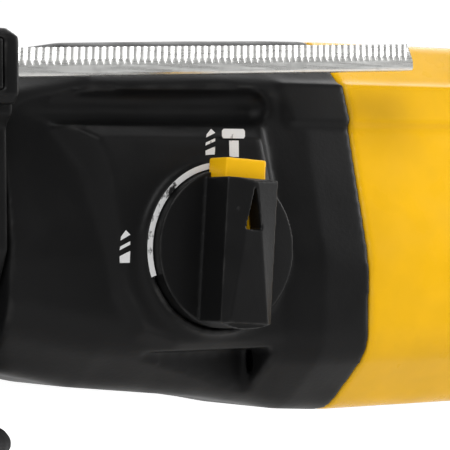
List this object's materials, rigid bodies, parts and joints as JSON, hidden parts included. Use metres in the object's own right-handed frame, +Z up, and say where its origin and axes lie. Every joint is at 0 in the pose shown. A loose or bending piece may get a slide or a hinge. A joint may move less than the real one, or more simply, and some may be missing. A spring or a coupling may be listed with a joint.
{
  "type": "rotary hammer",
  "caption": "Corded rotary hammer with a keyless hammer chuck, side mode selector, clamped side handle with toothed depth rod and a closed rear handle with trigger.",
  "frame": {"origin": "centre of the tool bore's mouth, on the spindle axis at the spindle's front end", "axes": "+X runs back along the spindle towards the rear handle, +Z is up with the side grip hanging down, the mode selector is on the -Y side"},
  "size_m": [0.3741, 0.0979, 0.2125],
  "materials": {
    "black_plastic": "dark charcoal glass-filled plastic, fine grain",
    "yellow_plastic": "satin yellow plastic",
    "soft_rubber": "soft dark rubber",
    "zinc_steel": "bright zinc plated steel",
    "gear_steel": "oiled gear steel",
    "cast_aluminium": "die cast aluminium",
    "copper_wire": "enamelled copper wire",
    "carbon": "carbon",
    "brass_part": "drawn brass"
  },
  "bodies": {
    "housing": {"gear_housing": "black_plastic", "motor_housing": "yellow_plastic", "handle_shell_left": "black_plastic", "handle_shell_right": "black_plastic", "grip_overmold": "soft_rubber", "inner_bearing_plate": "cast_aluminium", "spindle_front_bearing": "zinc_steel", "spindle_seal": "soft_rubber", "spindle_rear_bush": "brass_part", "jackshaft_bearings": "zinc_steel", "armature_bearings": "zinc_steel", "stator_core": "gear_steel", "stator_windings": "copper_wire", "motor_end_bracket": "cast_aluminium", "brush_holders": "brass_part", "brush_springs": "zinc_steel", "trigger_spring": "zinc_steel", "switch_body": "black_plastic", "cord_gland": "soft_rubber", "housing_screws": "zinc_steel", "handle_screws": "gear_steel"},
    "spindle": {"spindle": "gear_steel", "spindle_gear": "gear_steel", "dust_cap": "soft_rubber", "chuck_snap_ring": "gear_steel", "sleeve_spring": "zinc_steel"},
    "locking_ball": {"locking_ball": "zinc_steel"},
    "chuck_sleeve": {"chuck_sleeve": "black_plastic", "lock_ring": "zinc_steel"},
    "impact_bolt": {"impact_bolt": "gear_steel"},
    "piston": {"piston": "cast_aluminium"},
    "piston_pin": {"piston_pin": "gear_steel"},
    "ram": {"ram": "gear_steel", "ram_o_ring": "soft_rubber"},
    "wobble_ring": {"wobble_ring": "gear_steel"},
    "jackshaft": {"jackshaft": "gear_steel", "jackshaft_pinion": "gear_steel", "jackshaft_gear": "gear_steel", "wobble_hub": "gear_steel"},
    "clutch_sleeve": {"clutch_sleeve": "gear_steel"},
    "shift_fork": {"shift_fork": "zinc_steel"},
    "selector": {"selector_knob": "black_plastic", "selector_shaft": "gear_steel", "selector_lock_spring": "zinc_steel"},
    "selector_lock": {"selector_lock_button": "yellow_plastic"},
    "armature": {"armature_shaft": "gear_steel", "armature_core": "gear_steel", "armature_windings": "copper_wire", "commutator": "copper_wire", "cooling_fan": "black_plastic"},
    "brush_left": {"brush_left": "carbon"},
    "brush_right": {"brush_right": "carbon"},
    "trigger": {"trigger": "black_plastic"},
    "reverse_slider": {"reverse_slider": "black_plastic"},
    "side_handle": {"clamp_bracket": "black_plastic", "clamp_band": "zinc_steel", "clamp_bolt": "zinc_steel"},
    "side_grip": {"side_handle_grip": "soft_rubber"},
    "depth_rod": {"depth_rod": "zinc_steel"},
    "rod_release": {"rod_release_button": "black_plastic"}
  },
  "joints": [
    {"name": "spindle_spin", "type": "hinge", "parent": "housing", "child": "spindle", "pos_m": [0.1, 0, 0], "axis": [1, 0, 0], "continuous": true},
    {"name": "jackshaft_spin", "type": "hinge", "parent": "housing", "child": "jackshaft", "pos_m": [0.15, 0, -0.033], "axis": [1, 0, 0], "continuous": true},
    {"name": "armature_spin", "type": "hinge", "parent": "housing", "child": "armature", "pos_m": [0.23, 0, -0.014], "axis": [1, 0, 0], "continuous": true},
    {"name": "chuck_sleeve_pull", "type": "slide", "parent": "spindle", "child": "chuck_sleeve", "axis": [1, 0, 0], "range_m": [0, 0.006], "stiffness_N_per_m": 900, "springref_m": -0.006, "deforming": ["sleeve_spring"]},
    {"name": "locking_ball_drop", "type": "slide", "parent": "spindle", "child": "locking_ball", "axis": [0, 0, 1], "range_m": [-0.0018, 0]},
    {"name": "impact_bolt_slide", "type": "slide", "parent": "spindle", "child": "impact_bolt", "axis": [1, 0, 0], "range_m": [-0.0025, 0.0025]},
    {"name": "wobble_rock", "type": "hinge", "parent": "housing", "child": "wobble_ring", "pos_m": [0.166, 0, -0.033], "axis": [0, 1, 0], "range_deg": [-12.5, 12.5]},
    {"name": "piston_stroke", "type": "slide", "parent": "housing", "child": "piston", "axis": [1, 0, 0], "range_m": [-0.0069, 0.0069]},
    {"name": "piston_pin_swivel", "type": "hinge", "parent": "piston", "child": "piston_pin", "pos_m": [0.166, 0, 0], "axis": [0, 1, 0], "range_deg": [-12.5, 12.5]},
    {"name": "ram_slide", "type": "slide", "parent": "piston", "child": "ram", "axis": [1, 0, 0], "range_m": [-0.003, 0.01]},
    {"name": "selector_turn", "type": "hinge", "parent": "housing", "child": "selector", "pos_m": [0.149, -0.041, -0.0185], "axis": [0, -1, 0], "range_deg": [0, 90]},
    {"name": "fork_shift", "type": "slide", "parent": "housing", "child": "shift_fork", "axis": [1, 0, 0], "range_m": [0, 0.005]},
    {"name": "clutch_shift", "type": "slide", "parent": "jackshaft", "child": "clutch_sleeve", "axis": [1, 0, 0], "range_m": [0, 0.005]},
    {"name": "selector_lock_press", "type": "slide", "parent": "selector", "child": "selector_lock", "axis": [-0.0767, 0, -0.9971], "range_m": [0, 0.003], "stiffness_N_per_m": 400, "springref_m": -0.002, "deforming": ["selector_lock_spring"]},
    {"name": "brush_left_slide", "type": "slide", "parent": "housing", "child": "brush_left", "axis": [0, -1, 0], "range_m": [0, 0.003], "stiffness_N_per_m": 300, "springref_m": -0.003, "deforming": ["brush_springs"]},
    {"name": "brush_right_slide", "type": "slide", "parent": "housing", "child": "brush_right", "axis": [0, 1, 0], "range_m": [0, 0.003], "stiffness_N_per_m": 300, "springref_m": -0.003},
    {"name": "trigger_pull", "type": "slide", "parent": "housing", "child": "trigger", "axis": [1, 0, 0], "range_m": [0, 0.005], "stiffness_N_per_m": 900, "springref_m": -0.003, "deforming": ["trigger_spring"]},
    {"name": "reverse_slide", "type": "slide", "parent": "housing", "child": "reverse_slider", "axis": [0, 1, 0], "range_m": [-0.0025, 0.0025]},
    {"name": "side_handle_swing", "type": "hinge", "parent": "housing", "child": "side_handle", "pos_m": [0.08, 0, 0], "axis": [-1, 0, 0], "range_deg": [-15, 120]},
    {"name": "side_grip_twist", "type": "hinge", "parent": "side_handle", "child": "side_grip", "pos_m": [0.08, 0, -0.1], "axis": [0, 0, 1], "range_deg": [-180, 180]},
    {"name": "depth_rod_slide", "type": "slide", "parent": "side_handle", "child": "depth_rod", "axis": [0.9993, 0, 0.0384], "range_m": [-0.1, 0.06]},
    {"name": "rod_release_press", "type": "slide", "parent": "side_handle", "child": "rod_release", "axis": [0, 1, 0], "range_m": [0, 0.002], "stiffness_N_per_m": 500, "springref_m": -0.002}
  ],
  "couplings": [
    {"joint": "jackshaft_spin", "follows": "spindle_spin", "ratio": -3.2308},
    {"joint": "armature_spin", "follows": "spindle_spin", "ratio": 9.0462},
    {"joint": "wobble_rock", "follows": "piston_stroke", "rad_per_m": 30.303},
    {"joint": "piston_pin_swivel", "follows": "piston_stroke", "rad_per_m": 30.303},
    {"joint": "fork_shift", "follows": "selector_turn", "m_per_rad": 0.00315},
    {"joint": "clutch_shift", "follows": "selector_turn", "m_per_rad": 0.00315}
  ]
}
